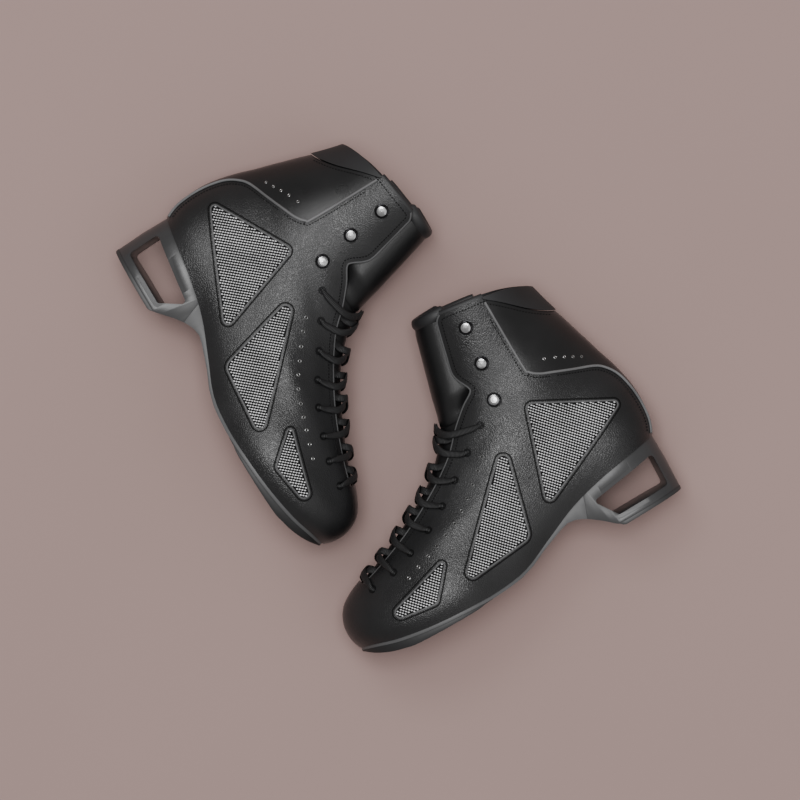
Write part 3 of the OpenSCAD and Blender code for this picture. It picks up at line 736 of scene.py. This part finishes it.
def make_mesh(name, corners):
    """A near-black sheet with rows of light thread loops over it: the sheet paints the shade in the gaps of
    the mesh, darker than the black lining behind them.
    """
    outline = window_outline(corners, -0.1)
    u, a = on_side(outline)
    angles = np.arange(math.floor(a.min()) - 1, a.max() + 2, 2.0)
    levels = np.arange(max(0, u.min() - 0.2), u.max() + 0.3, 0.25)
    # Painted shade: a near-black sheet fills the window behind the thread loops
    sheet = carved(wall(1.0, 1.7, levels, angles, False), common=[prism(outline, "y", 1, 100)])
    pieces(f"{name}_backing", joined([sheet, mirrored(sheet)]), "mesh_gap_shade")
    low, high = outline.min(0), outline.max(0)
    pitch, gap = 2.7, 1.55
    rows = np.arange(low[1], high[1], gap)
    grid = np.concatenate([np.stack([np.arange(low[0] + (i % 2) * pitch / 2, high[0], pitch),
                                     np.full(len(np.arange(low[0] + (i % 2) * pitch / 2, high[0],
                                                           pitch)), z)], 1)
                           for i, z in enumerate(rows)])
    inner = window_outline(corners, -0.7)
    ahead = np.roll(inner, -1, 0) - inner
    offset = grid[:, None, :] - inner[None]
    inside = (ahead[:, 0] * offset[..., 1] - ahead[:, 1] * offset[..., 0] > 0).all(1)
    grid = grid[inside]
    u, a = on_side(grid)
    centres, out = layer(u, a, 0.85), normal(u, a)
    lean = layer(*on_side(grid + (0.5, 0.5)), 0.85)
    loops = grains(centres, unit(lean - centres), out, 1.75, 1.1, 0.9, rings=2)
    pieces(f"{name}_threads", joined([loops, mirrored(loops)]), "mesh",
           stands_for=[f"{name}_mesh"])


def make_trim():
    pieces("perforation_rims", rings_at(PERFORATIONS, 0.1, 1.15, 0.4), "dot")
    # The perforations are not cut: a near-black ring in each one paints the shade inside the hole
    pieces("perforation_hole_shades", rings_at(PERFORATIONS, 0.1, 0.4, 0.45, 8, 5), "hole_shade")
    pieces("collar_dot_rims", rings_at(COLLAR_DOTS, 0.1, 0.95, 0.4, level=10, angle=60),
           "dot")


def rolled_edge():
    """The padded edge over leather and lining, along the top of the quarters."""
    top = TOP_CURVE[60:]
    return seam(top, 2.4, 2.9, 2.3, gap=1.5, level=13, angle=90, n=12)


def make_lining():
    shell = wall(LINING_OUT - 0.9, LINING_IN, np.linspace(0.8, TOP_LEVEL, 45), np.arange(0, 360, 4), True)
    cut = carved(shell, [throat_prism(16), top_prism(1.5), cuff_prism(-0.6)])
    pieces("inner_lining", cut, "lining", stands_for=["lining"], sharp=50)
    pieces("rolled_top_edge", rolled_edge(), "roll_leather")


def cuff_depth(u, a):
    """The cuff is a soft pad that stands proud in its middle."""
    return 0.4 - 1.6 * smooth((u - 9.8) / 1.2) * smooth((90 - np.abs(a)) / 25)


def make_cuff():
    pad = wall(cuff_depth, LINING_IN + 0.4, np.linspace(9.8, TOP_LEVEL, 40), np.arange(-90, 90.5, 3), False)
    cut = carved(pad, [top_prism()], [cuff_prism(0.5)], bevel=1.6, bevel_angle=40, segments=3)
    made = pieces("padded_cuff", cut, "cuff", body=None, stands_for=["soft_cuff"], sharp=0)
    for side, thing in made.items():
        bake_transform(thing)


# ---------------------------------------------------------------------------
# The tongue
# ---------------------------------------------------------------------------
def throat_angle(u):
    return np.interp(u, [4.4, 5.2, 7.7, 9, 10], [13, 27, 33, 37, 46])


def tongue_depth(u, a):
    fill = (1 - smooth(np.abs(a - 180) / throat_angle(u))) * smooth((u - 4.3) / 0.5)
    return TONGUE_OUT - (TONGUE_OUT - 2.2) * fill


def make_lower_tongue():
    shape = wall(tongue_depth, lambda u, a: tongue_depth(u, a) + TONGUE_T,
                 np.linspace(3.6, 10.2, 34), np.arange(130, 230.5, 2.5), False)
    keep = prism([(80, 134), (115, 141), (170, 141), (246, 100), (246, 40), (230, 40)], "y")
    cut = carved(shape, common=[keep])
    pieces("tongue_bottom", cut, "tongue_leather", stands_for=["lower_tongue"])


TONGUE_FRONT = np.array([(130, 134), (136, 134), (144, 131.5), (156, 128.5), (168, 125), (180, 121.5),
                         (192, 118), (204, 114.5), (211, 111.5), (216, 108)])
TONGUE_BACK = np.array([(132, 124), (141, 112), (150, 100), (165, 95), (225, 88)])
TONGUE_HALF = np.array([(132, 17), (141, 19), (152, 24), (165, 25)])


def channel_edge(z, inset, count=13):
    """The tongue's U outline at a height, moved in by an inset."""
    front = np.interp(z, *TONGUE_FRONT.T) - inset
    half = np.interp(z, *TONGUE_HALF.T) - inset
    bend = 19 - inset
    back = min(np.interp(z, *TONGUE_BACK.T), front - bend - 1)
    turns = np.radians(np.linspace(-90, 90, count))
    arc = np.stack([front - bend * (1 - np.cos(turns)), half * np.sin(turns),
                    np.full(count, z)], 1)
    ends = [np.linspace((back, s * half, z), (front - bend, s * half, z), 4, endpoint=False)
            for s in (-1, 1)]
    return np.concatenate([ends[0], arc, ends[1][::-1]])


def make_upper_tongue():
    heights = np.linspace(133, 210, 30)
    rings = []
    for z in heights:
        outer = channel_edge(z, 0)
        inner = channel_edge(z, TONGUE_T)[::-1]
        rings.append(np.concatenate([outer, inner]))
    made = pieces("tongue_top", loft(rings), "tongue_leather", body=None,
                  stands_for=["upper_tongue"], sharp=50)
    path = channel_edge(210.5, TONGUE_T / 2, 25)
    out = np.tile((0.0, 0, 1.0), (len(path), 1))
    roll = ribbon(path, out, 3.6, 5.2, 16)
    ends = grains(path[[0, -1]], np.array([(1.0, 0, 0), (1.0, 0, 0)]), out[:2], 7.2, 7.2, 10.4, 7, 16)
    rolls = pieces("tongue_roll_pad", joined([roll, ends]), "roll_leather",
                   body="tongue", stands_for=["tongue_roll"])
    for side in SIDES:
        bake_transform(made[side])


# ---------------------------------------------------------------------------
# The lace
# ---------------------------------------------------------------------------
# Stations of a pass from an eyelet to the next one up: share, depth, pinch
PASS = np.array([(0, 3.6, 1), (0, -1.2, 1), (0.06, -1.5, 0.3), (0.22, -1.7, 0), (0.36, -2.0, 0),
                 (0.44, -1.9, 0), (0.5, -1.8, 0), (0.56, -1.2, 0), (0.62, 0.7, 0), (0.68, 3.1, 0),
                 (0.85, 3.7, 0)])
PINCHED = (1.5, 0.9)
LACE_OVER = 0.75


def level_at(x, a):
    """The level of the surface point at angle a whose place along the boot is x."""
    low, high = np.zeros(len(x)), np.full(len(x), float(TOP_LEVEL))
    for _ in range(20):
        u = (low + high) / 2
        beyond = skin(u, a)[:, 0] > x
        low, high = np.where(beyond, u, low), np.where(beyond, high, u)
    return (low + high) / 2


def lace_run(side):
    """Stations of one end of the lace, from the lowest eyelet up."""
    places = list(zip(*on_side(EYELETS)))
    last = len(EYELETS) - 1
    stations = []
    for i in range(last, -1, -1):
        hand = side * (1 if (last - i) % 2 == 0 else -1)
        after = max(i - 1, 0)
        (u0, a0), (u2, a2) = places[i], places[after]
        u1 = level_at(np.array([CROSSINGS[i]]), np.array([180.0]))[0]
        share, depth, pinch = PASS.T
        a = a0 + (360 - a2 - a0) * share
        x0, x1, x2 = EYELETS[i][0], CROSSINGS[i], EYELETS[after][0]
        x = np.where(a < 180, x0 + (x1 - x0) * (a - a0) / (180 - a0),
                     x1 + (x2 - x1) * (a - 180) / (180 - a2))
        u = np.where(a < 180, u0 + (u1 - u0) * (a - a0) / (180 - a0),
                     u1 + (u2 - u1) * (a - 180) / (180 - a2))
        bowed = np.where(share == 0, u0, level_at(x, a))
        u += (bowed - u) * 0.9 * i / last
        over = side * LACE_OVER * smooth(1 - np.abs(share - 0.5) / 0.3)
        stations.append(np.stack([u, 180 + hand * (a - 180), depth - over, pinch], 1))
    return np.concatenate(stations)


def make_lace():
    bar = np.array([(4, a, 3.6, 0) for a in (195, 180, 165)])
    s = np.concatenate([lace_run(1)[::-1], bar, lace_run(-1)])
    path = layer(s[:, 0], s[:, 1], s[:, 2])
    wide = unit(skin(s[:, 0] + 0.1, s[:, 1]) - skin(s[:, 0] - 0.1, s[:, 1]))
    half = np.array([LACE_W, LACE_T]) / 2 * (1 - s[:, 3:]) + np.array(PINCHED) * s[:, 3:]
    fine = np.linspace(0, len(s) - 1, (len(s) - 1) * 6 + 1)
    path, wide, half = along(path, fine), along(wide, fine), along(half, fine)
    direction = unit(np.gradient(path, axis=0))
    wide = unit(wide - (wide * direction).sum(1, keepdims=True) * direction)
    thick = np.cross(wide, direction)
    turns = 2 * np.pi * (np.arange(10) + 0.5) / 10
    rings = []
    for t in turns:
        c, v = math.cos(t), math.sin(t)
        bulge = (c ** 4 + v ** 4) ** -0.25
        rings.append(path + half[:, :1] * c * bulge * wide + half[:, 1:] * v * bulge * thick)
    reach = np.concatenate([[0], np.cumsum(np.linalg.norm(np.diff(path, axis=0), axis=1))])
    run = np.repeat(reach / 1000, len(turns))
    pieces("ribbed_lace", loft(np.stack(rings, 1)), "lace", stands_for=["lace"], sharp=0, run=run)


# ---------------------------------------------------------------------------
# The sole
# ---------------------------------------------------------------------------
PARTING = [(71.5, 28), (75.5, 18.7)]
ARCH_BOTTOM = [(79, 20.6), (83.5, 22.6), (90, 23.6), (97, 21.8), (115, 15.4), (129, 9.4), (138, 7)]
TREAD = [(176, 4.4), (188, 3.6), (232, 4.6), (245, 6.6), (256, 9.5), (265, 13.5), (272, 18)]
HOLLOW = [(10, 32, 3), (60.5, 25.7, 2.5), (51.5, 11, 2), (11, 12, 3)]


def feather(x):
    row = LEVELS[0]
    c = np.clip((np.asarray(x, float) - row[0]) / (row[2] - row[0]), 0, 1)
    return row[1] + (row[3] - row[1]) * c - row[4] * along(ARCH, c * 10)


def feather_line(x0, x1, dz, n=60):
    x = np.linspace(x0, x1, n)
    return np.stack([x, feather(x) + dz], 1)


def bottom_prism(grown):
    angles = np.arange(0, 360, 2.5)
    p = skin(0, angles)[:, :2]
    t = skin(0, angles + 1)[:, :2] - skin(0, angles - 1)[:, :2]
    edge = unit(t)
    return prism(p + grown * np.stack([-edge[:, 1], edge[:, 0]], 1) * -1, "z", -60, 120)


def taper_prism(grown=0):
    h = HEEL_HALF + grown
    return prism([(-h, -1), (h, -1), (h + 3, 60), (-h - 3, 60)], "x", -150, 150)


def make_sole():
    band = np.concatenate([feather_line(69, 277, 0.3), feather_line(140, 277, -BAND_T)[::-1],
                           ARCH_BOTTOM[::-1], PARTING[::-1]])
    shape = carved(prism(band, "y"), common=[bottom_prism(WELT)], bevel=0.5)
    pieces("sole_band", shape, "sole_band", stands_for=["midsole"])
    tread = np.concatenate([feather_line(169, 277, -BAND_T - 0.1)[::-1], curve(TREAD, 4)])
    shape = carved(prism(tread, "y"), common=[bottom_prism(WELT - 0.3)], bevel=0.8)
    pieces("forefoot_outsole", shape, "outsole", stands_for=["outsole"])


def hull_outline(corners, grown):
    return window_outline(corners, grown, 0.8)


def make_heel():
    front = curve([(56.5, 3), (59, 5), (65, 10.5), (70, 14.6), (75.5, 18.7)], 5)
    side = np.concatenate([feather_line(-5, 69, 0.2, 24), [(p[0] - 0.2, p[1]) for p in PARTING[:1]],
                           front[::-1], [(0.3, 3.1), (-1, 20), (-4.5, 42)]])
    hollow = prism(hull_outline(HOLLOW, 0), "y")
    ledge = hull_outline(HOLLOW, 3.2)
    skirts = [prism(ledge, "y", HEEL_HALF - 1.2, 100), prism(ledge, "y", -100, 1.2 - HEEL_HALF)]
    shape = carved(prism(side, "y"), [hollow, *skirts], [bottom_prism(WELT), taper_prism()], bevel=0.6)
    pieces("heel_body", shape, "heel", stands_for=["heel_block"])
    lift = [(0.2, 1.2), (0.8, 0.3), (2, 0.03), (52, 0.03), (54, 0.8), (56, 2.9), (-0.2, 2.9)]
    shape = carved(prism(lift, "y"), common=[bottom_prism(WELT), taper_prism(0.2)], bevel=0.4)
    pieces("heel_lift_pad", shape, "lift", stands_for=["heel_lift"])


# ---------------------------------------------------------------------------
# Camera, light and floor
# ---------------------------------------------------------------------------
CAMERA_HEIGHT = 5.047
VIEW_WIDTH = 0.6112
VIEW_CENTRE = (0.0012, -0.0011)


def make_camera():
    data = bpy.data.cameras.new("camera")
    data.sensor_width = 36
    data.lens = 36 * 5.0 / VIEW_WIDTH
    camera = bpy.data.objects.new("camera", data)
    camera.location = (*VIEW_CENTRE, CAMERA_HEIGHT)
    bpy.context.scene.collection.objects.link(camera)
    bpy.context.scene.camera = camera


def area_light(name, place, turn, size, power):
    data = bpy.data.lights.new(name, "AREA")
    data.size = size
    data.energy = power
    light = bpy.data.objects.new(name, data)
    light.location = place
    light.rotation_euler = [math.radians(v) for v in turn]
    bpy.context.scene.collection.objects.link(light)


def make_stage():
    world = bpy.data.worlds.new("studio")
    world.use_nodes = True
    background = world.node_tree.nodes["Background"]
    background.inputs["Color"].default_value = (1, 0.985, 0.97, 1)
    background.inputs["Strength"].default_value = 0.38
    bpy.context.scene.world = world
    area_light("top", (-0.2, 0.3, 5.6), (-3, -2, 0), 2.2, 210)
    area_light("key", (-0.5, 0.8, 1.9), (-22, -14, 0), 0.8, 9)
    area_light("fill", (1.2, -0.7, 1.6), (24, 36, 0), 1.5, 5)
    mesh = bpy.data.meshes.new("floor")
    mesh.from_pydata([(-4, -4, 0), (4, -4, 0), (4, 4, 0), (-4, 4, 0)], [], [(0, 1, 2, 3)])
    finish, tree, bsdf = shader("floor_paper", (0.33, 0.225, 0.207), 0.8)
    mottled(tree, bsdf, (0.33, 0.225, 0.207), 0.02, 3)
    mesh.materials.append(finish)
    floor = bpy.data.objects.new("floor", mesh)
    bpy.context.scene.collection.objects.link(floor)


CAD_FINISH = {
    "eyelets": "eyelet", "lacing_studs": "stud", "stud_rivets": "rivet", "footbed": "footbed",
    "insole_board": "board", "shank": "steel", "bottom_filler": "filler",
    "heel_screws": "steel", "toe_puff": "stiffener", "heel_counter": "stiffener",
}


def finish_cad_nodes():
    for side in SIDES:
        for node, finish in CAD_FINISH.items():
            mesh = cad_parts[f"{side}_{node}"].data
            mesh.materials.clear()
            mesh.materials.append(FINISH[finish])


make_camera()
make_stage()
finish_cad_nodes()
make_upper()
make_seams()
make_windows()
for window, corners in WINDOWS.items():
    make_mesh(window, corners)
make_trim()
make_lining()
make_cuff()
make_lower_tongue()
make_upper_tongue()
make_lace()
make_sole()
make_heel()
